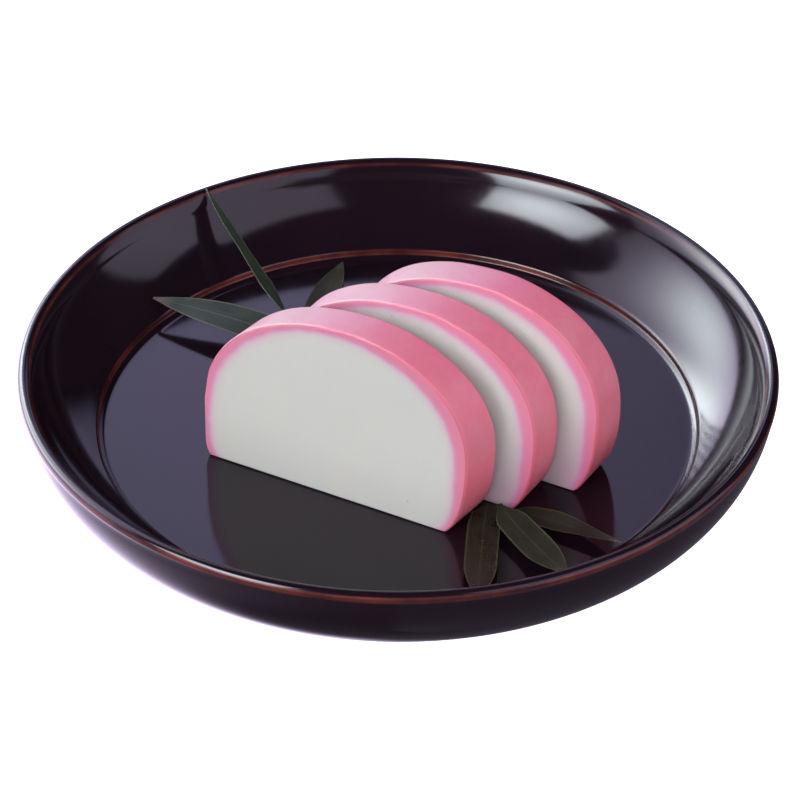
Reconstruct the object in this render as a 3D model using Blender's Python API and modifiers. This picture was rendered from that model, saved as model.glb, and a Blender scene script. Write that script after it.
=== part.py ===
"""Kamaboko: three slices of pink-skinned fish cake and six bamboo-grass leaves in a lacquered dish.

Metres, +Z up. The origin is on the table under the middle of the dish, and the dish stands on its
foot ring at Z = 0. The slices stand on the dish's floor with their cut faces towards -Y.
"""

import math

import bmesh
import bpy
import numpy as np

# The gap kept between pieces that touch.
GAP = 0.0003

# The dish, turned about the Z axis.
DISH_STEPS = 80
CURVE_STEPS = 8
FLARE_STEPS = 4
RIM_HEIGHT = 0.0244
FLOOR_Z = 0.0087
FLOOR_RING_R = 0.0300
# The flat floor turns up in a small cove, then a short upright step leads to the wall.
COVE_START_R = 0.0575
COVE_HANDLE = (0.0587, FLOOR_Z)
STEP_FOOT = (0.0597, FLOOR_Z + 0.0006)
WALL_FOOT = (0.0598, FLOOR_Z + 0.0017)
# The wall is steepest a little below the rim and flares outwards above that.
WALL_FOOT_HANDLE = (0.0667, 0.01365)
STEEPEST_HANDLE_BELOW = (0.07056, 0.01961)
STEEPEST = (0.07126, 0.02134)
STEEPEST_HANDLE_ABOVE = (0.07148, 0.02189)
WALL_TOP_HANDLE = (0.0720, 0.0230)
WALL_TOP = (0.0726, 0.0236)
LIP_RADIUS = 0.0012
LIP_CENTRE_R = 0.0739
LIP_CENTRE_Z = RIM_HEIGHT - LIP_RADIUS
LIP_ARC = (140.0, -28.0)
OUTSIDE_TOP = (0.0748, RIM_HEIGHT - 0.0023)
OUTSIDE_TOP_HANDLE = (0.0737, RIM_HEIGHT - 0.0130)
FOOT_OUTER_R = 0.0450
FOOT_WIDTH = 0.0032
FOOT_HEIGHT = 0.0021
OUTSIDE_FOOT_HANDLE = (0.0660, FOOT_HEIGHT)
OUTSIDE_FOOT = (0.0520, FOOT_HEIGHT)
UNDERSIDE_Z = FLOOR_Z - 0.0044
EDGE_EASE = 0.0004

# The slices: the cut outline's corners, sides and top, x along the base and y upwards, and how
# far the curve's handles reach from them.
LEFT_CORNER = (0.0002, 0.0)
TUCK_HANDLE = (-0.0023, 0.0050)
TUCK_REACH = 0.0002
LEFT_SIDE = (-0.0006, 0.0138)
LEFT_REACH = 0.0109
TOP_REACH_LEFT = 0.0238
TOP_POINT = (0.0327, 0.0396)
TOP_REACH_RIGHT = 0.0079
RIGHT_REACH_UP = 0.0170
RIGHT_BULGE = (0.0572, 0.0173)
RIGHT_REACH_DOWN = 0.0136
UNDER_HANDLE = (0.0530, 0.0003)
RIGHT_CORNER = (0.0528, 0.0)
TUCK_STEPS = 6
OUTLINE_STEPS = 13
UNDER_STEPS = 8
SLICE_ORIGIN = (-0.0374, -0.0113)
SLICE_TURN = math.radians(-28.0)

# The pink skin's thickness, by the share of the outline's length from its left corner.
SKIN_PLACES = (0.0, 0.05, 0.15, 0.27, 0.36, 0.45, 0.55, 0.65, 0.725, 0.82, 0.90, 0.95, 1.0)
SKIN_DEPTHS = (0.0014, 0.0015, 0.0016, 0.0020, 0.0015, 0.0010, 0.0018, 0.0026, 0.0029, 0.0026,
               0.0022, 0.0015, 0.0008)

# Each slice: shift along the base, distance back, thickness at the base, how far the back cut
# slants sideways, how much thinner it gets for each metre of height, length and height factors.
SLICES = (
    ("slice_front", 0.0, 0.0, 0.0112, 0.0014, 0.097, 1.000, 1.000),
    ("slice_middle", 0.0080, 0.0126, 0.0105, 0.0005, 0.085, 1.001, 1.013),
    ("slice_back", 0.0161, 0.0235, 0.0112, 0.0005, 0.097, 1.000, 1.044),
)

# Each leaf: four spine points from stalk to tip (heights above the dish's floor), width, roll
# about the spine in degrees, the share of the length where the blade starts to taper, the width
# of its stalk end as a share of the full width, the share of the length over which it widens, and
# how far its edge on the slices' side starts after the spine, where the end lies along a slice.
LEAVES = (
    ("leaf_left", (-0.0172, 0.0223, 0.0006), (-0.0255, 0.0261, 0.0050),
     (-0.0385, 0.0315, 0.0046), (-0.0508, 0.0372, 0.0044), 0.0083, 10.0, 0.47, 0.13, 0.27, 0.0),
    ("leaf_back", (-0.0224, 0.0341, 0.0010), (-0.0290, 0.0430, 0.0061),
     (-0.0352, 0.0517, 0.0112), (-0.0406, 0.0606, 0.0162), 0.0043, -33.0, 0.40, 0.13, 0.27, 0.0),
    ("leaf_behind", (-0.0183, 0.0293, 0.0008), (-0.0181, 0.0348, 0.0012),
     (-0.0150, 0.0428, 0.0022), (-0.0118, 0.0529, 0.0030), 0.0058, 5.0, 0.66, 0.13, 0.27, 0.0),
    ("leaf_front", (0.0174, -0.0281, 0.0012), (0.0161, -0.0392, 0.0016),
     (0.0157, -0.0515, 0.0010), (0.0150, -0.0600, 0.0040), 0.0063, 3.0, 0.60, 0.85, 0.15, 0.0037),
    ("leaf_front_right", (0.0196, -0.0302, 0.0025), (0.0225, -0.0366, 0.0024),
     (0.0284, -0.0455, 0.0014), (0.0318, -0.0540, 0.0045), 0.0065, -5.0, 0.62, 0.20, 0.24, 0.0),
    ("leaf_right", (0.0206, -0.0305, 0.0006), (0.0270, -0.0302, 0.0009),
     (0.0335, -0.0362, 0.0011), (0.0428, -0.0422, 0.0028), 0.0057, 2.0, 0.42, 0.13, 0.27, 0.0),
)
LEAF_THICKNESS = 0.0004
LEAF_ROWS = 16
LEAF_COLUMNS = 4
LEAF_TROUGH = 0.0003
LEAF_RIPPLE = 0.0002
RIPPLE_RATE = 9.0
# The blade's shape, as shares of its length and of its full width.
TIP_WIDTH = 0.05
SHOULDER_START = 0.03
SHOULDER_POWER = 1.3
TAPER_POWER = 1.7


def material(name, colour, roughness, coat=0.0):
    made = bpy.data.materials.new(name)
    made.use_nodes = True
    shader = made.node_tree.nodes["Principled BSDF"]
    shader.inputs["Base Color"].default_value = (*colour, 1.0)
    shader.inputs["Roughness"].default_value = roughness
    shader.inputs["Metallic"].default_value = 0.0
    shader.inputs["Coat Weight"].default_value = coat
    return made


def bezier(start, handle_a, handle_b, end, steps):
    """Points of a cubic curve, its end left out so that stretches can follow each other."""
    t = np.linspace(0.0, 1.0, steps, endpoint=False)[:, None]
    corners = [np.array(p) for p in (start, handle_a, handle_b, end)]
    weights = ((1 - t) ** 3, 3 * (1 - t) ** 2 * t, 3 * (1 - t) * t ** 2, t ** 3)
    return sum(w * p for w, p in zip(weights, corners))


def arc(centre, radius, start, stop, steps):
    angles = np.radians(np.linspace(start, stop, steps))
    return np.c_[centre[0] + radius * np.cos(angles), centre[1] + radius * np.sin(angles)]


def object_from(mesh, name, made_of, collection):
    made = bpy.data.objects.new(name, mesh)
    mesh.materials.append(made_of)
    collection.objects.link(made)
    return made


def dish_profile():
    """From the middle of the floor out, up the wall, over the lip, down the outside and under."""
    floor = [(0.0, FLOOR_Z), (FLOOR_RING_R, FLOOR_Z)]
    cove = bezier((COVE_START_R, FLOOR_Z), COVE_HANDLE, COVE_HANDLE, STEP_FOOT, FLARE_STEPS)
    wall = bezier(WALL_FOOT, WALL_FOOT_HANDLE, STEEPEST_HANDLE_BELOW, STEEPEST, CURVE_STEPS)
    flare = bezier(STEEPEST, STEEPEST_HANDLE_ABOVE, WALL_TOP_HANDLE, WALL_TOP, FLARE_STEPS)
    lip = arc((LIP_CENTRE_R, LIP_CENTRE_Z), LIP_RADIUS, *LIP_ARC, CURVE_STEPS)
    outside = bezier(OUTSIDE_TOP, OUTSIDE_TOP_HANDLE, OUTSIDE_FOOT_HANDLE, OUTSIDE_FOOT, CURVE_STEPS)
    foot_inner_r = FOOT_OUTER_R - FOOT_WIDTH
    foot = [OUTSIDE_FOOT, (FOOT_OUTER_R + EDGE_EASE, FOOT_HEIGHT - EDGE_EASE / 2),
            (FOOT_OUTER_R, EDGE_EASE), (FOOT_OUTER_R - EDGE_EASE, 0.0),
            (foot_inner_r + EDGE_EASE, 0.0), (foot_inner_r, EDGE_EASE),
            (foot_inner_r - EDGE_EASE, UNDERSIDE_Z - EDGE_EASE),
            (foot_inner_r - 3 * EDGE_EASE, UNDERSIDE_Z), (0.0, UNDERSIDE_Z)]
    curves = np.vstack([cove, [STEP_FOOT], wall, flare, [WALL_TOP], lip, outside])
    return [*floor, *map(tuple, curves), *foot]


def make_dish(collection, lacquer):
    points = [(r, 0.0, z) for r, z in dish_profile()]
    edges = [(i, i + 1) for i in range(len(points) - 1)]
    mesh = bpy.data.meshes.new("dish")
    mesh.from_pydata(points, edges, [])
    dish = object_from(mesh, "dish", lacquer, collection)
    turn = dish.modifiers.new("turn", "SCREW")
    turn.axis = "Z"
    turn.steps = DISH_STEPS
    turn.render_steps = DISH_STEPS
    turn.use_merge_vertices = True
    turn.merge_threshold = 0.00001
    turn.use_smooth_shade = True


def cut_outline():
    """The slice's outline from its left base corner, over the top, to its right base corner."""
    left_x, left_y = LEFT_SIDE
    top_x, top_y = TOP_POINT
    right_x, right_y = RIGHT_BULGE
    tuck = bezier(LEFT_CORNER, TUCK_HANDLE, (left_x, left_y - TUCK_REACH), LEFT_SIDE, TUCK_STEPS)
    left = bezier(LEFT_SIDE, (left_x, left_y + LEFT_REACH), (top_x - TOP_REACH_LEFT, top_y),
                  TOP_POINT, OUTLINE_STEPS)
    right = bezier(TOP_POINT, (top_x + TOP_REACH_RIGHT, top_y),
                   (right_x, right_y + RIGHT_REACH_UP), RIGHT_BULGE, OUTLINE_STEPS)
    under = bezier(RIGHT_BULGE, (right_x, right_y - RIGHT_REACH_DOWN), UNDER_HANDLE, RIGHT_CORNER,
                   UNDER_STEPS)
    return np.vstack([tuck, left, right, under, [RIGHT_CORNER]])


def inset(outline, depths):
    """The outline moved inwards by a depth of its own at each point, its ends kept on the base."""
    step = np.gradient(outline, axis=0)
    step /= np.linalg.norm(step, axis=1)[:, None]
    inwards = np.c_[step[:, 1], -step[:, 0]]
    moved = outline + inwards * depths[:, None]
    moved[:, 1] = np.maximum(moved[:, 1], 0.0)
    moved[0, 1] = moved[-1, 1] = 0.0
    return moved


def skin_depths(outline):
    """The skin's thickness along the outline, by the share of its length."""
    steps = np.linalg.norm(np.diff(outline, axis=0), axis=1)
    share = np.r_[0.0, np.cumsum(steps)] / steps.sum()
    return np.interp(share, SKIN_PLACES, SKIN_DEPTHS)


def stand(points, slice_row, depth_share):
    """Places flat outline points in the dish, on the slice's front (0) or back (1) cut."""
    _, along, back, thickness, slant, thinning, length_factor, height_factor = slice_row
    height = points[:, 1] * height_factor
    x = points[:, 0] * length_factor + along + slant * depth_share
    y = back + (thickness - thinning * height) * depth_share
    turn_cos, turn_sin = math.cos(SLICE_TURN), math.sin(SLICE_TURN)
    return np.c_[SLICE_ORIGIN[0] + turn_cos * x - turn_sin * y,
                 SLICE_ORIGIN[1] + turn_sin * x + turn_cos * y,
                 FLOOR_Z + GAP + height]


def finish_mesh(form, name, sharp_degrees):
    bmesh.ops.recalc_face_normals(form, faces=form.faces)
    mesh = bpy.data.meshes.new(name)
    form.to_mesh(mesh)
    form.free()
    mesh.shade_smooth()
    mesh.set_sharp_from_angle(angle=math.radians(sharp_degrees))
    return mesh


def prism(name, front, back, in_strips):
    """A solid between two matching closed rings, its two cuts in strips or in one face each."""
    form = bmesh.new()
    near = [form.verts.new(p) for p in front]
    far = [form.verts.new(p) for p in back]
    count = len(near)
    for i in range(count):
        j = (i + 1) % count
        form.faces.new((near[i], near[j], far[j], far[i]))
    if in_strips:
        for i in range(count // 2 - 1):
            quad = (i, i + 1, count - 2 - i, count - 1 - i)
            form.faces.new([near[k] for k in reversed(quad)])
            form.faces.new([far[k] for k in quad])
    else:
        form.faces.new(list(reversed(near)))
        form.faces.new(far)
    return finish_mesh(form, name, 35.0)


def make_slice(slice_row, collection, flesh, pink):
    core_name = slice_row[0] + "_core"
    skin_name = slice_row[0] + "_skin"
    outer = cut_outline()
    depths = skin_depths(outer)
    core = inset(outer, depths + GAP)
    ring = np.vstack([outer, inset(outer, depths)[::-1]])
    core_mesh = prism(core_name, stand(core, slice_row, 0.0), stand(core, slice_row, 1.0), False)
    skin_mesh = prism(skin_name, stand(ring, slice_row, 0.0), stand(ring, slice_row, 1.0), True)
    object_from(core_mesh, core_name, flesh, collection)
    object_from(skin_mesh, skin_name, pink, collection)


def blade_width(share, taper_start, stalk_width, shoulder_length):
    """A lance-shaped blade: a narrow stalk, a long widest stretch, then a drawn-out tip."""
    grown = np.clip((share - SHOULDER_START) / shoulder_length, 0.0, 1.0)
    shoulder = stalk_width + (1 - stalk_width) * np.sin(grown * math.pi / 2) ** SHOULDER_POWER
    taper = np.clip((share - taper_start) / (1 - taper_start), 0.0, 1.0)
    return shoulder * (1 - taper ** TAPER_POWER) + TIP_WIDTH * taper


def leaf_surfaces(spine_points, width, roll, taper_start, stalk_width, shoulder_length, slant):
    """The upper and the lower face's points, row after row from the stalk to the tip."""
    corners = [np.array(p) + (0.0, 0.0, FLOOR_Z) for p in spine_points]
    spine = np.vstack([bezier(*corners, LEAF_ROWS), [corners[3]]])
    share = np.linspace(0.0, 1.0, LEAF_ROWS + 1)
    forward = np.gradient(spine, axis=0)
    forward /= np.linalg.norm(forward, axis=1)[:, None]
    level = np.cross(forward, (0.0, 0.0, 1.0))
    level /= np.linalg.norm(level, axis=1)[:, None]
    upward = np.cross(level, forward)
    turn = math.radians(roll)
    side = level * math.cos(turn) + upward * math.sin(turn)
    normal = np.cross(side, forward)
    half_widths = blade_width(share, taper_start, stalk_width, shoulder_length) * width / 2
    across = np.linspace(-1.0, 1.0, LEAF_COLUMNS + 1)
    middle = []
    for i in range(LEAF_ROWS + 1):
        fade = math.sin(math.pi * share[i])
        for a in across:
            ripple = LEAF_RIPPLE * a * math.sin(RIPPLE_RATE * share[i])
            lift = (LEAF_TROUGH * a * a + ripple) * fade
            late = forward[i] * slant * max(a, 0.0) * (1.0 - share[i]) ** 3
            middle.append(spine[i] + side[i] * a * half_widths[i] + normal[i] * lift + late)
    half_thickness = np.repeat(normal, LEAF_COLUMNS + 1, axis=0) * LEAF_THICKNESS / 2
    return np.array(middle) + half_thickness, np.array(middle) - half_thickness


def make_leaf(row, collection, green):
    name, *spine_points = row[:5]
    top, bottom = leaf_surfaces(spine_points, *row[5:])
    form = bmesh.new()
    upper = [form.verts.new(p) for p in top]
    lower = [form.verts.new(p) for p in bottom]
    stride = LEAF_COLUMNS + 1
    for i in range(LEAF_ROWS):
        for j in range(LEAF_COLUMNS):
            a = i * stride + j
            b, c, d = a + 1, a + 1 + stride, a + stride
            for three in ((a, b, c), (a, c, d)):
                form.faces.new([upper[k] for k in three])
                form.faces.new([lower[k] for k in reversed(three)])
    last = LEAF_ROWS * stride
    left_edge = list(range(0, last + 1, stride))
    right_edge = [k + LEAF_COLUMNS for k in left_edge]
    near_edge = list(range(stride))
    far_edge = [last + k for k in near_edge]
    for edge in (left_edge, right_edge, near_edge, far_edge):
        for k, m in zip(edge, edge[1:]):
            form.faces.new((upper[k], upper[m], lower[m], lower[k]))
    object_from(finish_mesh(form, name, 60.0), name, green, collection)


def main():
    for old in list(bpy.data.objects):
        bpy.data.objects.remove(old, do_unlink=True)
    collection = bpy.data.collections.new("kamaboko_in_lacquer_dish")
    bpy.context.scene.collection.children.link(collection)
    lacquer = material("lacquer", (0.010, 0.006, 0.009), 0.12, coat=1.0)
    flesh = material("fish_paste", (0.66, 0.64, 0.60), 0.45)
    pink = material("pink_skin", (0.72, 0.19, 0.25), 0.40)
    green = material("bamboo_leaf", (0.035, 0.055, 0.030), 0.42)
    make_dish(collection, lacquer)
    for slice_row in SLICES:
        make_slice(slice_row, collection, flesh, pink)
    for row in LEAVES:
        make_leaf(row, collection, green)


main()
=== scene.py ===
"""Looks of the kamaboko part: sliced fish cake and bamboo-grass leaves in a lacquered dish."""

import math

import bmesh
import bpy
import numpy as np
from mathutils import Matrix, Vector, noise


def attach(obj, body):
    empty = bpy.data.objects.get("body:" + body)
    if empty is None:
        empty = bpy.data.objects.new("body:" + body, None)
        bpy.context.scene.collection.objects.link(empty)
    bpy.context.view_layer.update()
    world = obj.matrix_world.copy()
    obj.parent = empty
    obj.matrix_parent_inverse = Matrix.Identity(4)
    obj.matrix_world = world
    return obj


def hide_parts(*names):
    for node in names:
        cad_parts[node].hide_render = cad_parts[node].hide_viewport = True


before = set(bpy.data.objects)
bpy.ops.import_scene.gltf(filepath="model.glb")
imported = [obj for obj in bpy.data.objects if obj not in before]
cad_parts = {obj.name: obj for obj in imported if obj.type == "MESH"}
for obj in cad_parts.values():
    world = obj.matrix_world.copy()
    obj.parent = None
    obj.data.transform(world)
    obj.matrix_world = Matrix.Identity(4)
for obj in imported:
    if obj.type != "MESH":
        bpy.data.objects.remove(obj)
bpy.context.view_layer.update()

ROOT = "root"
MM = 0.001

# Camera, from the photograph's viewing angle.
CAMERA_PLACE = Vector((0.0, -0.61345, 0.45703))
CAMERA_RIGHT = Vector((0.999986, 0.002633, 0.004582))
CAMERA_UP = Vector((-0.005256, 0.585336, 0.810773))
CAMERA_FORWARD = Vector((0.000547, 0.810786, -0.585342))
LENS_MM = 171.0
SENSOR_MM = 36.0
CLIP_NEAR = 0.01
CLIP_FAR = 50.0

# The dish's profile, as in the CAD.
RIM_HEIGHT = 0.0244
FLOOR_Z = 0.0087
COVE_START_R = 0.0575
COVE_HANDLE = (0.0587, FLOOR_Z)
STEP_FOOT = (0.0597, FLOOR_Z + 0.0006)
STEP_HANDLE_BELOW = (0.05985, FLOOR_Z + 0.0009)
STEP_HANDLE_ABOVE = (0.05972, FLOOR_Z + 0.0013)
WALL_FOOT = (0.0598, FLOOR_Z + 0.0017)
WALL_FOOT_HANDLE = (0.0667, 0.01365)
STEEPEST_HANDLE_BELOW = (0.07056, 0.01961)
STEEPEST = (0.07126, 0.02134)
STEEPEST_HANDLE_ABOVE = (0.07148, 0.02189)
WALL_TOP_HANDLE = (0.0720, 0.0230)
WALL_TOP = (0.0726, 0.0236)
LIP_RADIUS = 0.0012
LIP_CENTRE_R = 0.0739
LIP_CENTRE_Z = RIM_HEIGHT - LIP_RADIUS
LIP_ARC = (140.0, -28.0)
OUTSIDE_TOP = (0.0748, RIM_HEIGHT - 0.0023)
OUTSIDE_TOP_HANDLE = (0.0737, RIM_HEIGHT - 0.0130)
FOOT_OUTER_R = 0.0450
FOOT_WIDTH = 0.0032
FOOT_HEIGHT = 0.0021
OUTSIDE_FOOT_HANDLE = (0.0660, FOOT_HEIGHT)
OUTSIDE_FOOT = (0.0520, FOOT_HEIGHT)
UNDERSIDE_Z = FLOOR_Z - 0.0044
EDGE_EASE = 0.0004
DISH_STEPS = 256

# The worn red-brown lines of the lacquer: radius and half width of each.
FOOT_LINE = (0.05974, 0.00028)
LIP_LINE_INSIDE = (0.0727, 0.0004)
LIP_LINE_OUTSIDE = (0.07502, 0.00022)
LIP_LINES_FROM = (0.0205, 0.0215)
FLOOR_SIDE = (FLOOR_Z - 0.0006, FLOOR_Z - 0.0003)
WORN_DULLNESS = 0.16

# The slices, as in the CAD.
LEFT_CORNER = (0.0002, 0.0)
TUCK_HANDLE = (-0.0023, 0.0050)
TUCK_REACH = 0.0002
LEFT_SIDE = (-0.0006, 0.0138)
LEFT_REACH = 0.0109
TOP_REACH_LEFT = 0.0238
TOP_POINT = (0.0327, 0.0396)
TOP_REACH_RIGHT = 0.0079
RIGHT_REACH_UP = 0.0170
RIGHT_BULGE = (0.0572, 0.0173)
RIGHT_REACH_DOWN = 0.0136
UNDER_HANDLE = (0.0530, 0.0003)
RIGHT_CORNER = (0.0528, 0.0)
SLICE_ORIGIN = (-0.0374, -0.0113)
SLICE_TURN = math.radians(-28.0)
SKIN_PLACES = (0.0, 0.05, 0.15, 0.27, 0.36, 0.45, 0.55, 0.65, 0.725, 0.82, 0.90, 0.95, 1.0)
SKIN_DEPTHS = (0.0014, 0.0015, 0.0016, 0.0020, 0.0015, 0.0010, 0.0018, 0.0026, 0.0029, 0.0026,
               0.0022, 0.0015, 0.0008)
# Name, shift along the row and to the back, thickness, slant, thinning upwards, length and height
# against the front slice.
SLICES = (
    ("slice_front", 0.0, 0.0, 0.0112, 0.0014, 0.097, 1.000, 1.000),
    ("slice_middle", 0.0080, 0.0126, 0.0105, 0.0005, 0.085, 1.001, 1.013),
    ("slice_back", 0.0161, 0.0235, 0.0112, 0.0005, 0.097, 1.000, 1.044),
)
SLICE_CENTRE = (0.0275, 0.0160)
SLICE_LIFT = 0.00006
OUTLINE_POINTS = 232
SIDE_RINGS = 16
CUT_EDGE_RADIUS = 0.00045
CUT_EDGE_RINGS = 6
FACE_INSETS_MM = (6.0, 5.0, 4.2, 3.6, 3.1, 2.7, 2.35, 2.0, 1.7, 1.4, 1.15, 0.9, 0.65)
INNER_SCALES = (0.08, 0.92, 12)
# Painted shade on the middle and back slices: the share of the thickness from the front it covers,
# the height it starts below, and how far it fades upwards.
SHADED_SHARE = 0.3
SHADED_BELOW = 0.0190
SHADE_FADE = 0.0150
EVEN_BELOW = 0.0015
SWELL = 0.00009
SWELLS_PER_METRE = 95.0
CUT_WAVE = 0.00007
CUT_WAVE_RATE = 1.6

# The leaves, as in the CAD: name, the spine's four points above the dish's floor, width, roll in
# degrees, where the tip starts, the stalk's width, the shoulder's length, the stalk end's slant.
LEAVES = (
    ("leaf_left", (-0.0172, 0.0223, 0.0006), (-0.0255, 0.0261, 0.0050),
     (-0.0385, 0.0315, 0.0046), (-0.0508, 0.0372, 0.0044), 0.0083, 10.0, 0.47, 0.13, 0.27, 0.0),
    ("leaf_back", (-0.0224, 0.0341, 0.0010), (-0.0290, 0.0430, 0.0061),
     (-0.0352, 0.0517, 0.0112), (-0.0406, 0.0606, 0.0162), 0.0043, -33.0, 0.40, 0.13, 0.27, 0.0),
    ("leaf_behind", (-0.0183, 0.0293, 0.0008), (-0.0181, 0.0348, 0.0012),
     (-0.0150, 0.0428, 0.0022), (-0.0118, 0.0529, 0.0030), 0.0058, 5.0, 0.66, 0.13, 0.27, 0.0),
    ("leaf_front", (0.0174, -0.0281, 0.0012), (0.0161, -0.0392, 0.0016),
     (0.0157, -0.0515, 0.0010), (0.0150, -0.0600, 0.0040), 0.0063, 3.0, 0.60, 0.85, 0.15, 0.0037),
    ("leaf_front_right", (0.0196, -0.0302, 0.0025), (0.0225, -0.0366, 0.0024),
     (0.0284, -0.0455, 0.0014), (0.0318, -0.0540, 0.0045), 0.0065, -5.0, 0.62, 0.20, 0.24, 0.0),
    ("leaf_right", (0.0206, -0.0305, 0.0006), (0.0270, -0.0302, 0.0009),
     (0.0335, -0.0362, 0.0011), (0.0428, -0.0422, 0.0028), 0.0057, 2.0, 0.42, 0.13, 0.27, 0.0),
)
LEAF_THICKNESS = 0.00032
LEAF_ROWS = 72
LEAF_COLUMNS = 20
LEAF_TROUGH = 0.0003
LEAF_RIPPLE = 0.0002
RIPPLE_RATE = 9.0
LEAF_RIM_SHARE = 0.4
TIP_WIDTH = 0.05
SHOULDER_START = 0.03
SHOULDER_POWER = 1.3
TAPER_POWER = 1.7

# Lights: cards on a large sphere, with tints for their dim and bright parts.
CARD_RADIUS = 1.6
TINT_RANGE = (3.0, 20.0)
LAVENDER = (0.98, 0.90, 1.20)
COOL_WHITE = (0.96, 1.03, 1.10)
BLUE = (0.98, 0.92, 1.50)
PLAIN = (0.99, 1.0, 1.0)
MAUVE = (0.97, 0.82, 1.16)
ROOM = (0.05, 0.04, 0.05, 1.0)
FLOOR_HALF = 6.0
FLOOR_GLOW = 1.0


def srgb(red, green, blue):
    """A screen colour, 0 to 255, as the linear colour that shaders take."""
    def linear(value):
        share = value / 255.0
        return share / 12.92 if share <= 0.04045 else ((share + 0.055) / 1.055) ** 2.4
    return (linear(red), linear(green), linear(blue), 1.0)


def add(tree, kind, inputs=None, **settings):
    """A new shader node, its settings made and its inputs linked or set."""
    node = tree.nodes.new(kind)
    for key, value in settings.items():
        setattr(node, key, value)
    for key, value in (inputs or {}).items():
        if isinstance(value, bpy.types.NodeSocket):
            tree.links.new(value, node.inputs[key])
        else:
            node.inputs[key].default_value = value
    return node


def maths(tree, operation, first, second=0.0):
    return add(tree, "ShaderNodeMath", {0: first, 1: second}, operation=operation).outputs[0]


def ramp(tree, factor, stops):
    """A colour ramp with stops of (place, linear colour)."""
    node = add(tree, "ShaderNodeValToRGB", {"Fac": factor})
    elements = node.color_ramp.elements
    elements[0].position, elements[1].position = stops[0][0], stops[-1][0]
    elements[0].color, elements[1].color = stops[0][1], stops[-1][1]
    for place, colour in stops[1:-1]:
        elements.new(place).color = colour
    return node.outputs["Color"]


def mix(tree, factor, first, second, blend="MIX"):
    node = add(tree, "ShaderNodeMix", {0: factor, 6: first, 7: second}, data_type="RGBA",
               blend_type=blend)
    return node.outputs[2]


def spread(tree, value, low, high, to_low=0.0, to_high=1.0, smooth=True):
    """Maps a value from one range to another, held at the ends."""
    kind = "SMOOTHSTEP" if smooth else "LINEAR"
    node = add(tree, "ShaderNodeMapRange", {0: value, 1: low, 2: high, 3: to_low, 4: to_high},
               interpolation_type=kind)
    node.clamp = True
    return node.outputs[0]


def grain(tree, coords, scale, detail=3.0, roughness=0.5):
    """Soft noise, its scale in swells per metre."""
    node = add(tree, "ShaderNodeTexNoise", {"Vector": coords, "Scale": scale, "Detail": detail,
                                            "Roughness": roughness})
    return node.outputs["Fac"]


def new_material(name):
    made = bpy.data.materials.new(name)
    made.use_nodes = True
    tree = made.node_tree
    coords = add(tree, "ShaderNodeTexCoord").outputs["Object"]
    return made, tree, tree.nodes["Principled BSDF"], coords


def bump(tree, shader, height, distance, strength=1.0):
    node = add(tree, "ShaderNodeBump", {"Height": height, "Distance": distance,
                                        "Strength": strength})
    tree.links.new(node.outputs["Normal"], shader.inputs["Normal"])


def attribute(tree, name):
    return add(tree, "ShaderNodeAttribute", attribute_name=name).outputs["Fac"]


def bezier(start, handle_a, handle_b, end, steps):
    """Points of a cubic curve, its end left out so that stretches can follow each other."""
    t = np.linspace(0.0, 1.0, steps, endpoint=False)[:, None]
    corners = [np.array(p) for p in (start, handle_a, handle_b, end)]
    weights = ((1 - t) ** 3, 3 * (1 - t) ** 2 * t, 3 * (1 - t) * t ** 2, t ** 3)
    return sum(w * p for w, p in zip(weights, corners))


def arc(centre, radius, start, stop, steps):
    angles = np.radians(np.linspace(start, stop, steps))
    return np.c_[centre[0] + radius * np.cos(angles), centre[1] + radius * np.sin(angles)]


def piece(name, points, faces, material, values=None, sharp_degrees=60.0):
    """A mesh piece that rides on the root body, with a value for each point by name."""
    mesh = bpy.data.meshes.new(name)
    mesh.from_pydata([tuple(p) for p in points], [], faces)
    mesh.materials.append(material)
    form = bmesh.new()
    form.from_mesh(mesh)
    bmesh.ops.recalc_face_normals(form, faces=form.faces)
    form.to_mesh(mesh)
    form.free()
    mesh.shade_smooth()
    mesh.set_sharp_from_angle(angle=math.radians(sharp_degrees))
    for key, numbers in (values or {}).items():
        layer = mesh.attributes.new(key, "FLOAT", "POINT")
        layer.data.foreach_set("value", np.asarray(numbers, dtype=np.float32))
    made = bpy.data.objects.new(name, mesh)
    bpy.context.scene.collection.objects.link(made)
    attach(made, ROOT)
    return made


def band(tree, radius, middle, half_width):
    """One at a radius, fading to nothing at half_width from it."""
    away = maths(tree, "ABSOLUTE", maths(tree, "SUBTRACT", radius, middle))
    return spread(tree, away, 0.0, half_width, 1.0, 0.0)


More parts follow.
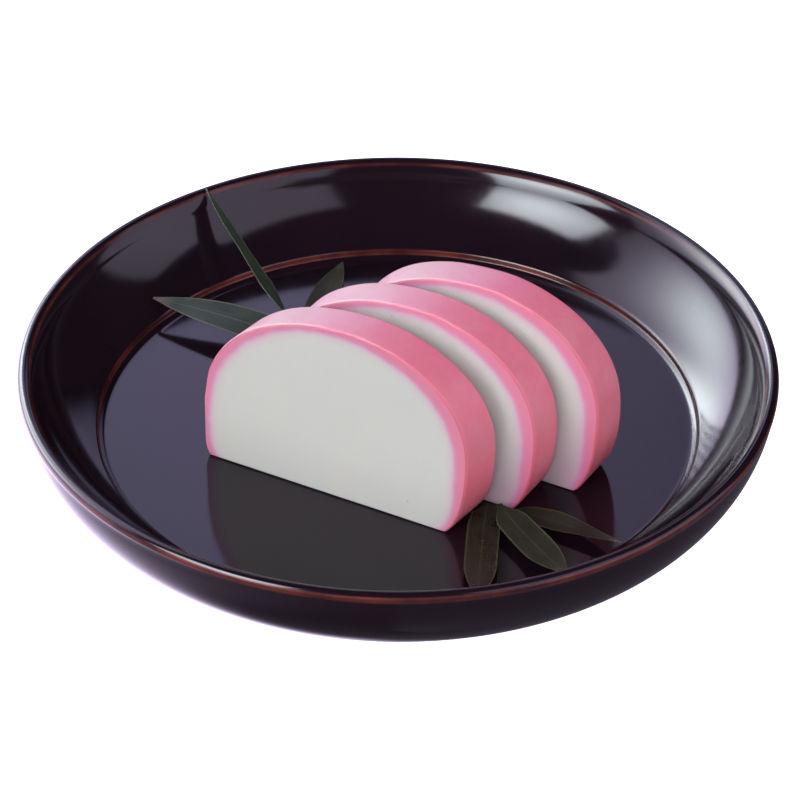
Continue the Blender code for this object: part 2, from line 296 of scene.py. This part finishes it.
def lacquer_material():
    """Black-brown gloss, worn to red-brown at the lip and at the edge of the floor."""
    made, tree, shader, coords = new_material("black_brown_lacquer")
    apart = add(tree, "ShaderNodeSeparateXYZ", {0: coords})
    x, y, z = apart.outputs
    radius = maths(tree, "SQRT", maths(tree, "ADD", maths(tree, "MULTIPLY", x, x),
                                       maths(tree, "MULTIPLY", y, y)))
    inside = spread(tree, z, *FLOOR_SIDE)
    patchy = grain(tree, coords, 90.0, 4.0, 0.6)
    wear = spread(tree, patchy, 0.30, 0.70, 0.25, 1.0)
    foot_line = maths(tree, "MULTIPLY", band(tree, radius, *FOOT_LINE), inside)
    lip_in = maths(tree, "MULTIPLY", band(tree, radius, *LIP_LINE_INSIDE), 0.7)
    lip_out = band(tree, radius, *LIP_LINE_OUTSIDE)
    high = spread(tree, z, *LIP_LINES_FROM)
    lip_lines = maths(tree, "MULTIPLY", maths(tree, "MAXIMUM", lip_in, lip_out), high)
    worn = maths(tree, "MAXIMUM", foot_line, lip_lines)
    worn = maths(tree, "MULTIPLY", worn, wear)
    cloudy = grain(tree, coords, 24.0, 3.0, 0.55)
    ground = ramp(tree, cloudy, [(0.3, srgb(24, 13, 22)), (0.7, srgb(29, 16, 26))])
    colour = mix(tree, worn, ground, srgb(112, 50, 44))
    tree.links.new(colour, shader.inputs["Base Color"])
    fine = grain(tree, coords, 420.0, 3.0, 0.5)
    gloss = spread(tree, fine, 0.3, 0.7, 0.09, 0.13, smooth=False)
    rubbed = maths(tree, "MULTIPLY", worn, WORN_DULLNESS)
    tree.links.new(maths(tree, "ADD", gloss, rubbed), shader.inputs["Roughness"])
    shader.inputs["IOR"].default_value = 1.28
    wavy = grain(tree, coords, 38.0, 2.0, 0.5)
    bump(tree, shader, wavy, 0.00004, 0.6)
    return made


def fish_cake_material():
    """White paste that fades into its pink skin, with fine pores and a few specks."""
    made, tree, shader, coords = new_material("fish_cake")
    depth = attribute(tree, "depth")
    skin = attribute(tree, "skin")
    uneven = grain(tree, coords, 260.0, 3.0, 0.55)
    wander = spread(tree, uneven, 0.25, 0.75, -0.00022, 0.00022, smooth=False)
    beyond = maths(tree, "SUBTRACT", maths(tree, "ADD", depth, wander), skin)
    place = spread(tree, beyond, -0.0010, 0.0026, smooth=False)
    whole = ramp(tree, place, [
        (0.00, srgb(219, 134, 162)), (0.16, srgb(218, 137, 170)), (0.28, srgb(216, 150, 186)),
        (0.40, srgb(212, 176, 196)), (0.55, srgb(210, 195, 201)), (0.78, srgb(208, 204, 203)),
        (1.00, srgb(207, 207, 204))])
    outer = spread(tree, depth, 0.00005, 0.0007, 1.0, 0.0)
    blush = grain(tree, coords, 130.0, 4.0, 0.6)
    around = attribute(tree, "around")
    # The skin's colour round the outline, from the left base corner over the top to the right one;
    # the brighter stops from 0.80 on are painted light on the right flank and under it, which the
    # lamps leave too dark.
    layer = ramp(tree, around, [
        (0.00, srgb(228, 126, 150)), (0.18, srgb(226, 141, 171)), (0.30, srgb(222, 150, 172)),
        (0.38, srgb(212, 160, 172)), (0.46, srgb(224, 148, 180)), (0.54, srgb(226, 126, 160)),
        (0.64, srgb(223, 116, 143)), (0.71, srgb(219, 113, 137)), (0.80, srgb(234, 124, 148)),
        (0.88, srgb(246, 126, 148)), (1.00, srgb(244, 114, 138))])
    paler = mix(tree, 0.5, layer, srgb(236, 176, 190))
    rose = mix(tree, spread(tree, blush, 0.35, 0.75, 0.0, 0.45), layer, paler)
    colour = mix(tree, outer, whole, rose)
    # A darker, redder band along the rounded cut edge: painted shade that dims the light the
    # rounding catches.
    eased = maths(tree, "MULTIPLY", band(tree, depth, 0.00024, 0.00026), 0.85)
    colour = mix(tree, eased, colour, srgb(200, 100, 118))
    # Painted shade, tinted pink-lavender, darkens the middle and back slices' front cuts low down,
    # next to the slice in front.
    shade = mix(tree, attribute(tree, "painted_gap_shade"), (1.0, 1.0, 1.0, 1.0), (0.88, 0.68, 0.82, 1.0))
    colour = mix(tree, 1.0, colour, shade, "MULTIPLY")
    speck_field = add(tree, "ShaderNodeTexVoronoi", {"Vector": coords, "Scale": 310.0})
    speck = spread(tree, speck_field.outputs["Distance"], 0.045, 0.11, 1.0, 0.0)
    rare = spread(tree, speck_field.outputs["Color"], 0.80, 0.84)
    within = spread(tree, beyond, 0.0008, 0.0016)
    specks = maths(tree, "MULTIPLY", maths(tree, "MULTIPLY", speck, rare), within)
    colour = mix(tree, maths(tree, "MULTIPLY", specks, 0.35), colour, srgb(150, 128, 104))
    tree.links.new(colour, shader.inputs["Base Color"])
    shader.inputs["Subsurface Weight"].default_value = 0.35
    shader.inputs["Subsurface Radius"].default_value = (1.0, 0.55, 0.42)
    shader.inputs["Subsurface Scale"].default_value = 0.0016
    shader.inputs["IOR"].default_value = 1.30
    sheen = spread(tree, grain(tree, coords, 900.0, 2.0), 0.3, 0.7, 0.36, 0.52, smooth=False)
    tree.links.new(sheen, shader.inputs["Roughness"])
    pores = add(tree, "ShaderNodeTexVoronoi", {"Vector": coords, "Scale": 1500.0})
    pits = spread(tree, pores.outputs["Distance"], 0.0, 0.35, 0.0, 1.0)
    soft = grain(tree, coords, 520.0, 4.0, 0.6)
    relief = maths(tree, "ADD", maths(tree, "MULTIPLY", soft, 0.75),
                   maths(tree, "MULTIPLY", pits, 0.25))
    bump(tree, shader, relief, 0.00012, 0.55)
    return made


def leaf_material(name, dark, light, edge, tip, gloss, density=1.28):
    """A blade with fine lengthwise veins, a paler rim and its tip's own colour."""
    made, tree, shader, coords = new_material(name)
    across = attribute(tree, "across")
    along = attribute(tree, "along")
    veins = add(tree, "ShaderNodeCombineXYZ", {0: maths(tree, "MULTIPLY", across, 9.0),
                                               1: maths(tree, "MULTIPLY", along, 1.3)})
    fibre = grain(tree, veins.outputs[0], 3.0, 4.0, 0.65)
    cloudy = grain(tree, coords, 260.0, 3.0, 0.55)
    tone = maths(tree, "ADD", maths(tree, "MULTIPLY", fibre, 0.6),
                 maths(tree, "MULTIPLY", cloudy, 0.4))
    blade = ramp(tree, tone, [(0.36, dark), (0.64, light)])
    away = maths(tree, "ABSOLUTE", across)
    rib = maths(tree, "MULTIPLY", spread(tree, away, 0.0, 0.08, 1.0, 0.0), 0.22)
    blade = mix(tree, rib, blade, edge)
    rim = maths(tree, "MULTIPLY", spread(tree, away, 0.86, 0.99), 0.5)
    blade = mix(tree, rim, blade, edge)
    blade = mix(tree, spread(tree, along, 0.86, 1.0), blade, tip)
    tree.links.new(blade, shader.inputs["Base Color"])
    rough = spread(tree, cloudy, 0.3, 0.7, gloss - 0.06, gloss + 0.08, smooth=False)
    tree.links.new(rough, shader.inputs["Roughness"])
    shader.inputs["IOR"].default_value = density
    wave = maths(tree, "SINE", maths(tree, "MULTIPLY", across, 46.0))
    ridges = maths(tree, "ADD", maths(tree, "MULTIPLY", wave, 0.35), fibre)
    bump(tree, shader, ridges, 0.00009, 0.6)
    return made


def dish_profile():
    """Radius and height from the middle of the floor over the lip to the middle underneath."""
    floor = [(r, FLOOR_Z) for r in np.linspace(0.0, COVE_START_R, 40)[:-1]]
    cove = bezier((COVE_START_R, FLOOR_Z), COVE_HANDLE, COVE_HANDLE, STEP_FOOT, 14)
    rise = bezier(STEP_FOOT, STEP_HANDLE_BELOW, STEP_HANDLE_ABOVE, WALL_FOOT, 6)
    wall = bezier(WALL_FOOT, WALL_FOOT_HANDLE, STEEPEST_HANDLE_BELOW, STEEPEST, 34)
    flare = bezier(STEEPEST, STEEPEST_HANDLE_ABOVE, WALL_TOP_HANDLE, WALL_TOP, 12)
    lip = arc((LIP_CENTRE_R, LIP_CENTRE_Z), LIP_RADIUS, *LIP_ARC, 22)
    outside = bezier(OUTSIDE_TOP, OUTSIDE_TOP_HANDLE, OUTSIDE_FOOT_HANDLE, OUTSIDE_FOOT, 34)
    foot_inner_r = FOOT_OUTER_R - FOOT_WIDTH
    foot = [OUTSIDE_FOOT, (FOOT_OUTER_R + EDGE_EASE, FOOT_HEIGHT - EDGE_EASE / 2),
            (FOOT_OUTER_R, EDGE_EASE), (FOOT_OUTER_R - EDGE_EASE, 0.0),
            (foot_inner_r + EDGE_EASE, 0.0), (foot_inner_r, EDGE_EASE),
            (foot_inner_r - EDGE_EASE, UNDERSIDE_Z - EDGE_EASE),
            (foot_inner_r - 3 * EDGE_EASE, UNDERSIDE_Z)]
    under = [(r, UNDERSIDE_Z) for r in np.linspace(foot_inner_r - 4 * EDGE_EASE, 0.0, 8)]
    return np.vstack([floor, cove, rise, wall, flare, [WALL_TOP], lip, outside, foot, under])


def make_dish():
    profile = dish_profile()[1:-1]
    turns = np.linspace(0.0, 2 * math.pi, DISH_STEPS, endpoint=False)
    points = [(r * math.cos(a), r * math.sin(a), z) for r, z in profile for a in turns]
    faces = []
    for i in range(len(profile) - 1):
        for j in range(DISH_STEPS):
            k = (j + 1) % DISH_STEPS
            low, high = i * DISH_STEPS, (i + 1) * DISH_STEPS
            faces.append((low + j, low + k, high + k, high + j))
    top, bottom = len(points), len(points) + 1
    points += [(0.0, 0.0, FLOOR_Z), (0.0, 0.0, UNDERSIDE_Z)]
    last = (len(profile) - 1) * DISH_STEPS
    for j in range(DISH_STEPS):
        k = (j + 1) % DISH_STEPS
        faces.append((top, k, j))
        faces.append((bottom, last + j, last + k))
    dish = piece("dish_lacquered", points, faces, lacquer_material(), sharp_degrees=70.0)
    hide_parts("dish")


def cut_outline():
    """The slice's curved outline from its left base corner to its right one, finely."""
    left_x, left_y = LEFT_SIDE
    top_x, top_y = TOP_POINT
    right_x, right_y = RIGHT_BULGE
    tuck = bezier(LEFT_CORNER, TUCK_HANDLE, (left_x, left_y - TUCK_REACH), LEFT_SIDE, 60)
    left = bezier(LEFT_SIDE, (left_x, left_y + LEFT_REACH), (top_x - TOP_REACH_LEFT, top_y),
                  TOP_POINT, 120)
    right = bezier(TOP_POINT, (top_x + TOP_REACH_RIGHT, top_y),
                   (right_x, right_y + RIGHT_REACH_UP), RIGHT_BULGE, 120)
    under = bezier(RIGHT_BULGE, (right_x, right_y - RIGHT_REACH_DOWN), UNDER_HANDLE, RIGHT_CORNER,
                   60)
    return np.vstack([tuck, left, right, under, [RIGHT_CORNER]])


def rings_of(outline, insets):
    """The closed outline moved inwards by each inset, all rings with matching points."""
    closed = np.vstack([outline, outline[:1]])
    lengths = np.r_[0.0, np.cumsum(np.linalg.norm(np.diff(closed, axis=0), axis=1))]
    spots = np.linspace(0.0, lengths[-1], OUTLINE_POINTS, endpoint=False)
    outer = np.c_[np.interp(spots, lengths, closed[:, 0]), np.interp(spots, lengths, closed[:, 1])]
    centre = np.array(SLICE_CENTRE)
    rays = outer - centre
    rays /= np.linalg.norm(rays, axis=1)[:, None]
    edges = np.diff(closed, axis=0)
    edges /= np.linalg.norm(edges, axis=1)[:, None]
    inwards = np.c_[edges[:, 1], -edges[:, 0]]
    reach = np.einsum("ij,ij->i", centre - closed[:-1], inwards)
    facing = -rays @ inwards.T
    rings = []
    for inset in insets:
        with np.errstate(divide="ignore"):
            far = np.where(facing > 1e-6, (reach - inset) / facing, 1e9)
        rings.append(centre + rays * far.min(axis=1)[:, None])
    return rings


def skin_at(points, outline):
    """Each point's distance to the curved outline, the skin's thickness there, and the place."""
    edges = np.diff(outline, axis=0)
    lengths = np.linalg.norm(edges, axis=1)
    share = np.r_[0.0, np.cumsum(lengths)] / lengths.sum()
    apart = points[:, None, :] - outline[None, :-1, :]
    along = np.clip(np.einsum("ijk,jk->ij", apart, edges) / lengths ** 2, 0.0, 1.0)
    away = np.linalg.norm(apart - along[:, :, None] * edges[None, :, :], axis=2)
    nearest = away.argmin(axis=1)
    rows = np.arange(len(points))
    place = share[nearest] + along[rows, nearest] * lengths[nearest] / lengths.sum()
    return away[rows, nearest], np.interp(place, SKIN_PLACES, SKIN_DEPTHS), place


def make_slice(row, material):
    """One slice: rings over the front cut, round its edge, along the skin and over the back."""
    name, along, back, thickness, slant, thinning, length_factor, height_factor = row
    outline = cut_outline()
    centre = np.array(SLICE_CENTRE)
    fillet = np.radians(np.linspace(0.0, 90.0, CUT_EDGE_RINGS))
    edge_insets = CUT_EDGE_RADIUS * (1 - np.sin(fillet))
    edge_offsets = CUT_EDGE_RADIUS * (1 - np.cos(fillet))
    inner = rings_of(outline, MM * np.array(FACE_INSETS_MM))
    eased = rings_of(outline, edge_insets)
    full = eased[-1]
    shrunk = [centre + (inner[0] - centre) * s for s in np.linspace(*INNER_SCALES)]
    face = [(ring, 0.0) for ring in shrunk + inner]
    rounded = list(zip(eased, edge_offsets))
    rings = [(ring, "front", offset) for ring, offset in face + rounded]
    rings += [(full, "share", s) for s in np.linspace(0.0, 1.0, SIDE_RINGS + 2)[1:-1]]
    rings += [(ring, "back", offset) for ring, offset in reversed(face + rounded)]
    turn_cos, turn_sin = math.cos(SLICE_TURN), math.sin(SLICE_TURN)
    flat = np.vstack([ring for ring, _, _ in rings] + [centre[None, :], centre[None, :]])
    local_thickness = thickness - thinning * flat[:, 1] * height_factor
    offsets = []
    for i, (ring, side, amount) in enumerate(rings):
        span = local_thickness[i * OUTLINE_POINTS:(i + 1) * OUTLINE_POINTS]
        if side == "front":
            offsets.append(np.full(len(ring), amount))
        elif side == "back":
            offsets.append(span - amount)
        else:
            inner_span = span - 2 * CUT_EDGE_RADIUS
            offsets.append(CUT_EDGE_RADIUS + inner_span * amount)
    offsets = np.concatenate(offsets + [[0.0], [local_thickness[-1]]])
    depth, skin, around = skin_at(flat, outline)
    height = flat[:, 1] * height_factor
    x = flat[:, 0] * length_factor + along + slant * offsets / local_thickness
    y = back + offsets
    points = np.c_[SLICE_ORIGIN[0] + turn_cos * x - turn_sin * y,
                   SLICE_ORIGIN[1] + turn_sin * x + turn_cos * y,
                   FLOOR_Z + SLICE_LIFT + height]
    points = roughen(points, flat, offsets / local_thickness, len(name))
    faces = ring_faces(len(rings), OUTLINE_POINTS)
    # Where painted shade falls: the front of the middle and back slices, low down, fading upwards;
    # none on the front slice.
    facing_front = np.clip(1.0 - offsets / (SHADED_SHARE * local_thickness), 0.0, 1.0)
    low = np.clip((SHADED_BELOW - flat[:, 1]) / SHADE_FADE, 0.0, 1.0)
    painted_gap_shade = facing_front * low * (name != "slice_front")
    values = {"depth": depth, "skin": skin, "around": around, "painted_gap_shade": painted_gap_shade}
    made = piece(name, points, faces, material, values, 80.0)
    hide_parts(name + "_core", name + "_skin")


def ring_faces(ring_count, per_ring):
    """Quads between following rings, and a fan at each end to the last two points."""
    faces = []
    for i in range(ring_count - 1):
        for j in range(per_ring):
            k = (j + 1) % per_ring
            low, high = i * per_ring, (i + 1) * per_ring
            faces.append((low + j, low + k, high + k, high + j))
    first, second = ring_count * per_ring, ring_count * per_ring + 1
    last = (ring_count - 1) * per_ring
    for j in range(per_ring):
        k = (j + 1) % per_ring
        faces.append((first, k, j))
        faces.append((second, last + j, last + k))
    return faces


def roughen(points, flat, share, seed):
    """Slight unevenness of the paste: soft swells outside, faint waves on the cuts."""
    shift = Vector((seed * 1.7, seed * 0.9, 0.0))
    moved = points.copy()
    centre = np.array(SLICE_CENTRE)
    turn_cos, turn_sin = math.cos(SLICE_TURN), math.sin(SLICE_TURN)
    for i, p in enumerate(points):
        if flat[i, 1] < EVEN_BELOW:
            continue
        at = Vector(p) * SWELLS_PER_METRE + shift
        outwards = flat[i] - centre
        outwards /= max(np.linalg.norm(outwards), 1e-6)
        swell = SWELL * noise.noise(at)
        facing = 2 * share[i] - 1
        cut_wave = CUT_WAVE * noise.noise(at * CUT_WAVE_RATE) * facing * abs(facing)
        moved[i, 0] += turn_cos * outwards[0] * swell - turn_sin * cut_wave
        moved[i, 1] += turn_sin * outwards[0] * swell + turn_cos * cut_wave
        moved[i, 2] += outwards[1] * swell
    return moved


def blade_width(share, taper_start, stalk_width, shoulder_length):
    """A lance-shaped blade: a narrow stalk, a long widest stretch, then a drawn-out tip."""
    grown = np.clip((share - SHOULDER_START) / shoulder_length, 0.0, 1.0)
    shoulder = stalk_width + (1 - stalk_width) * np.sin(grown * math.pi / 2) ** SHOULDER_POWER
    taper = np.clip((share - taper_start) / (1 - taper_start), 0.0, 1.0)
    return shoulder * (1 - taper ** TAPER_POWER) + TIP_WIDTH * taper


def make_leaf(row, material):
    """A thin blade along its spine, troughed and rippled, with both faces split alike."""
    name, *spine_points = row[:5]
    width, roll, taper_start, stalk_width, shoulder_length, slant = row[5:]
    corners = [np.array(p) + (0.0, 0.0, FLOOR_Z) for p in spine_points]
    spine = np.vstack([bezier(*corners, LEAF_ROWS), [corners[3]]])
    share = np.linspace(0.0, 1.0, LEAF_ROWS + 1)
    forward = np.gradient(spine, axis=0)
    forward /= np.linalg.norm(forward, axis=1)[:, None]
    level = np.cross(forward, (0.0, 0.0, 1.0))
    level /= np.linalg.norm(level, axis=1)[:, None]
    upward = np.cross(level, forward)
    turn = math.radians(roll)
    side = level * math.cos(turn) + upward * math.sin(turn)
    normal = np.cross(side, forward)
    half_widths = blade_width(share, taper_start, stalk_width, shoulder_length) * width / 2
    across = np.linspace(-1.0, 1.0, LEAF_COLUMNS + 1)
    middle = []
    thin = []
    for i in range(LEAF_ROWS + 1):
        fade = math.sin(math.pi * share[i])
        for a in across:
            ripple = LEAF_RIPPLE * a * math.sin(RIPPLE_RATE * share[i])
            lift = (LEAF_TROUGH * a * a + ripple) * fade
            late = forward[i] * slant * max(a, 0.0) * (1.0 - share[i]) ** 3
            middle.append(spine[i] + side[i] * a * half_widths[i] + normal[i] * lift + late)
            thin.append(1.0 - (1.0 - LEAF_RIM_SHARE) * a * a)
    middle = np.array(middle)
    half = np.repeat(normal, LEAF_COLUMNS + 1, axis=0) * (LEAF_THICKNESS / 2)
    half *= np.array(thin)[:, None]
    points = np.vstack([middle + half, middle - half])
    count = len(middle)
    stride = LEAF_COLUMNS + 1
    faces = []
    for i in range(LEAF_ROWS):
        for j in range(LEAF_COLUMNS):
            a = i * stride + j
            b, c, d = a + 1, a + 1 + stride, a + stride
            faces.append((a, b, c, d))
            faces.append((count + d, count + c, count + b, count + a))
    last = LEAF_ROWS * stride
    left_edge = list(range(0, last + 1, stride))
    right_edge = [k + LEAF_COLUMNS for k in left_edge]
    near_edge = list(range(stride))
    far_edge = [last + k for k in near_edge]
    for edge in (left_edge, right_edge, near_edge, far_edge):
        for k, m in zip(edge, edge[1:]):
            faces.append((k, m, count + m, count + k))
    values = {"across": np.tile(np.tile(across, LEAF_ROWS + 1), 2),
              "along": np.tile(np.repeat(share, stride), 2)}
    made = piece(name + "_blade", points, faces, material, values, 75.0)
    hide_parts(name)


def leaf_looks():
    """Each leaf's own colours: dark and light blade, rim and veins, tip, and its gloss."""
    back_edge = srgb(112, 122, 104)
    return {
        "leaf_left": leaf_material("leaf_pale_green", srgb(26, 34, 28), srgb(46, 54, 48), back_edge,
                                   srgb(108, 96, 92), 0.36, 1.20),
        "leaf_back": leaf_material("leaf_mid_green", srgb(34, 46, 34), srgb(58, 72, 54), back_edge,
                                   srgb(70, 76, 62), 0.38),
        "leaf_behind": leaf_material("leaf_deep_green", srgb(20, 20, 12), srgb(38, 34, 24),
                                     srgb(62, 62, 46), srgb(50, 54, 40), 0.46, 1.12),
        "leaf_front": leaf_material("leaf_olive", srgb(20, 20, 10), srgb(40, 40, 22),
                                    srgb(92, 100, 66), srgb(60, 64, 40), 0.30),
        "leaf_front_right": leaf_material("leaf_fresh_green", srgb(24, 28, 18), srgb(42, 48, 32),
                                          srgb(100, 112, 80), srgb(58, 66, 46), 0.34),
        "leaf_right": leaf_material("leaf_brown_olive", srgb(22, 23, 14), srgb(40, 41, 28),
                                    srgb(96, 88, 68), srgb(76, 68, 52), 0.36),
    }


def glow_material(name, dim, bright):
    """Light whose strength comes from the card's own values, its tint from dim to bright."""
    made = bpy.data.materials.new(name)
    made.use_nodes = True
    tree = made.node_tree
    tree.nodes.clear()
    out = add(tree, "ShaderNodeOutputMaterial")
    glow = attribute(tree, "glow")
    tint = mix(tree, spread(tree, glow, *TINT_RANGE), (*dim, 1.0), (*bright, 1.0))
    shine = add(tree, "ShaderNodeEmission", {"Color": tint, "Strength": glow})
    tree.links.new(shine.outputs[0], out.inputs["Surface"])
    return made


def step(value, start, stop):
    """Rises smoothly from nothing at start to one at stop, or falls when stop is lower."""
    t = min(max((value - start) / (stop - start), 0.0), 1.0)
    return t * t * (3 - 2 * t)


def hill(value, middle, low_width, high_width, power=2.0):
    """A bell with its own width on each side, in degrees."""
    width = low_width if value < middle else high_width
    return math.exp(-abs((value - middle) / width) ** power)


def front_left_box(az, el):
    """A softbox in front at the left, its lower right corner cut off, brightest in the middle."""
    right = min(-108.0, -128.0 + 1.3 * (el - 9.0))
    inside = step(az, -150.0, -148.0) * step(az, right + 1.0, right - 1.0)
    inside *= step(el, 49.0, 47.0) * step(el, 1.0, 4.0)
    lower = hill(el, 35.0, 14.0, 15.0)
    return inside * (5.2 + 9.2 * hill(az, -132.0, 18.0, 22.0) * lower)


def left_behind_box(az, el):
    """A large softbox from the left round to behind, its upper left corner cut off."""
    left = max(-102.0, -100.0 + 1.07 * (el - 33.0))
    inside = step(az, left - 1.0, left + 1.0) * step(az, -13.0, -18.0)
    inside *= step(el, 2.0, 8.0) * step(el, 64.0, 59.0)
    main = 11.8 * hill(az, -60.0, 22.0, 25.0) * hill(el, 24.0, 17.0, 19.0)
    right_end = 15.0 * hill(az, -26.0, 11.0, 12.0) * hill(el, 33.0, 17.0, 11.0)
    haze = 1.2 + 0.4 * step(az, -104.0, -84.0) + 0.5 * step(el, 30.0, 50.0)
    return inside * (haze + main + right_end)


def right_panel(az, el):
    """A dim grey panel at the right, its left part lower and its lower right corner dimmer."""
    top = 52.0 if az > 103.0 else 41.0
    inside = step(az, 76.5, 78.5) * step(az, 158.5, 156.5) * step(el, top + 1.0, top - 1.0)
    level = 0.92 + 0.3 * step(az, 78.0, 100.0)
    corner = step(az, 144.0, 148.0) * step(el, 27.0, 23.0)
    return inside * (level * (1 - corner) + 0.42 * corner)


def back_panel(az, el):
    """A dim bluish panel behind, seen in the dish's floor."""
    high = step(az, -26.0, -12.0) * step(az, 12.0, 8.0) * step(el, 24.0, 30.0)
    high *= 1.45 - 0.50 * step(az, -4.0, 5.0)
    low = step(az, 4.0, 10.0) * step(az, 34.0, 24.0) * step(el, 2.0, 6.0) * step(el, 28.0, 22.0)
    return step(el, 46.0, 42.0) * max(high, 0.6 * low)


def front_haze(az, el):
    """The room in front, a little lighter near the table."""
    return 0.36 * step(el, 26.0, 16.0)


def table_sheen(az, el):
    """The table as the dish's outside mirrors it: pale at the left and behind, dark elsewhere."""
    edge = step(az, 2.0, -4.0)
    pale = edge * (1.7 * hill(az, -32.0, 52.0, 60.0) + 0.3 * hill(az, -115.0, 45.0, 40.0))
    low = step(el, -78.0, -50.0)
    lit = 4.4 * hill(az, -58.0, 30.0, 28.0) * step(el, -44.0, -16.0)
    return pale * low * low + lit + 0.10 + 0.10 * step(az, 30.0, 150.0)


def soft_light(az, el):
    """All the light that falls on the food, for azimuths from 40 round to 346."""
    low = step(el, 2.0, 8.0) * step(el, 30.0, 22.0)
    high = step(el, 22.0, 30.0) * step(el, 62.0, 50.0)
    right = step(az, 40.0, 70.0) * step(az, 165.0, 140.0) * (1.6 * low + 0.5 * high)
    front = step(az, 140.0, 165.0) * step(az, 238.0, 215.0) * (0.96 * low + 1.6 * high)
    near_camera = 3.6 * hill(az, 182.0, 20.0, 20.0) * hill(el, 36.0, 14.0, 14.0)
    boxes = 0.48 * front_left_box(az - 360.0, el) + 0.15 * left_behind_box(az - 360.0, el)
    return 0.95 * (right + front + near_camera + boxes)


def light_card(name, shape, azimuths, elevations, dim, bright, strength, steps, mirrored):
    """A patch of a large sphere round the dish. Azimuth 0 is behind, positive to the right.

    A mirrored card shows only in gloss, and any other one lights only matt surfaces.
    """
    columns, rows = steps
    points, glow, faces = [], [], []
    for i in range(rows + 1):
        el_degrees = elevations[0] + (elevations[1] - elevations[0]) * i / rows
        for j in range(columns + 1):
            az_degrees = azimuths[0] + (azimuths[1] - azimuths[0]) * j / columns
            az, el = math.radians(az_degrees), math.radians(el_degrees)
            points.append((CARD_RADIUS * math.sin(az) * math.cos(el),
                           CARD_RADIUS * math.cos(az) * math.cos(el),
                           CARD_RADIUS * math.sin(el)))
            glow.append(shape(az_degrees, el_degrees) * strength)
    stride = columns + 1
    for i in range(rows):
        for j in range(columns):
            a = i * stride + j
            faces.append((a, a + 1, a + 1 + stride, a + stride))
    mesh = bpy.data.meshes.new(name)
    mesh.from_pydata(points, [], faces)
    layer = mesh.attributes.new("glow", "FLOAT", "POINT")
    layer.data.foreach_set("value", np.asarray(glow, dtype=np.float32))
    mesh.materials.append(glow_material(name, dim, bright))
    card = bpy.data.objects.new(name, mesh)
    bpy.context.scene.collection.objects.link(card)
    card.visible_camera = False
    card.visible_shadow = False
    card.visible_glossy = mirrored
    card.visible_diffuse = not mirrored


def floor_material():
    made, tree, shader, coords = new_material("pale_floor")
    tone = ramp(tree, grain(tree, coords, 3.0, 2.0), [(0.3, srgb(226, 226, 228)),
                                                      (0.7, srgb(230, 230, 231))])
    tree.links.new(tone, shader.inputs["Base Color"])
    shader.inputs["Roughness"].default_value = 0.9
    shader.inputs["Specular IOR Level"].default_value = 0.0
    shader.inputs["Emission Color"].default_value = (1.0, 1.0, 1.0, 1.0)
    shader.inputs["Emission Strength"].default_value = FLOOR_GLOW
    return made


def make_floor():
    """A plain pale floor that the camera sees and that leaves the food's light alone."""
    mesh = bpy.data.meshes.new("pale_floor")
    half = FLOOR_HALF
    corners = [(-half, -half, 0.0), (half, -half, 0.0), (half, half, 0.0), (-half, half, 0.0)]
    mesh.from_pydata(corners, [], [(0, 1, 2, 3)])
    mesh.materials.append(floor_material())
    made = bpy.data.objects.new("pale_floor", mesh)
    bpy.context.scene.collection.objects.link(made)
    made.visible_glossy = False
    made.visible_diffuse = False
    made.visible_shadow = False


def make_studio():
    """Softboxes and dim panels as the lacquer mirrors them, and one dome of light on the food."""
    scene = bpy.context.scene
    scene.view_settings.view_transform = "Standard"
    scene.view_settings.look = "None"
    world = bpy.data.worlds.new("dim_studio")
    world.use_nodes = True
    background = world.node_tree.nodes["Background"]
    background.inputs["Color"].default_value = ROOM
    scene.world = world
    mirrored = (
        ("card_front_left", front_left_box, (-150.0, -106.0), (0.0, 50.0),
         LAVENDER, COOL_WHITE, 2.70, (22, 25)),
        ("card_left_behind", left_behind_box, (-104.0, -14.0), (1.0, 65.0),
         LAVENDER, COOL_WHITE, 1.62, (45, 32)),
        ("card_right", right_panel, (76.0, 160.0), (0.0, 54.0),
         LAVENDER, LAVENDER, 2.60, (42, 27)),
        ("card_behind", back_panel, (-27.0, 35.0), (1.0, 47.0),
         BLUE, BLUE, 1.55, (31, 23)),
        ("card_front", front_haze, (159.0, 206.0), (1.0, 31.0),
         LAVENDER, LAVENDER, 2.50, (6, 10)),
        ("card_table", table_sheen, (-180.0, 180.0), (-88.0, 0.0),
         MAUVE, MAUVE, 1.45, (60, 30)),
    )
    for name, shape, azimuths, elevations, dim, bright, strength, steps in mirrored:
        light_card(name, shape, azimuths, elevations, dim, bright, strength, steps, True)
    light_card("light_on_food", soft_light, (40.0, 346.0), (2.0, 66.0),
               PLAIN, PLAIN, 1.0, (102, 24), False)
    make_floor()


def make_camera():
    data = bpy.data.cameras.new("camera")
    data.lens = LENS_MM
    data.sensor_width = SENSOR_MM
    data.clip_start = CLIP_NEAR
    data.clip_end = CLIP_FAR
    camera = bpy.data.objects.new("camera", data)
    axes = Matrix((CAMERA_RIGHT, CAMERA_UP, -CAMERA_FORWARD)).transposed()
    camera.matrix_world = Matrix.Translation(CAMERA_PLACE) @ axes.to_4x4()
    bpy.context.scene.collection.objects.link(camera)
    bpy.context.scene.camera = camera


make_camera()
make_studio()
make_dish()
fish_cake = fish_cake_material()
for slice_row in SLICES:
    make_slice(slice_row, fish_cake)
looks = leaf_looks()
for leaf_row in LEAVES:
    make_leaf(leaf_row, looks[leaf_row[0]])
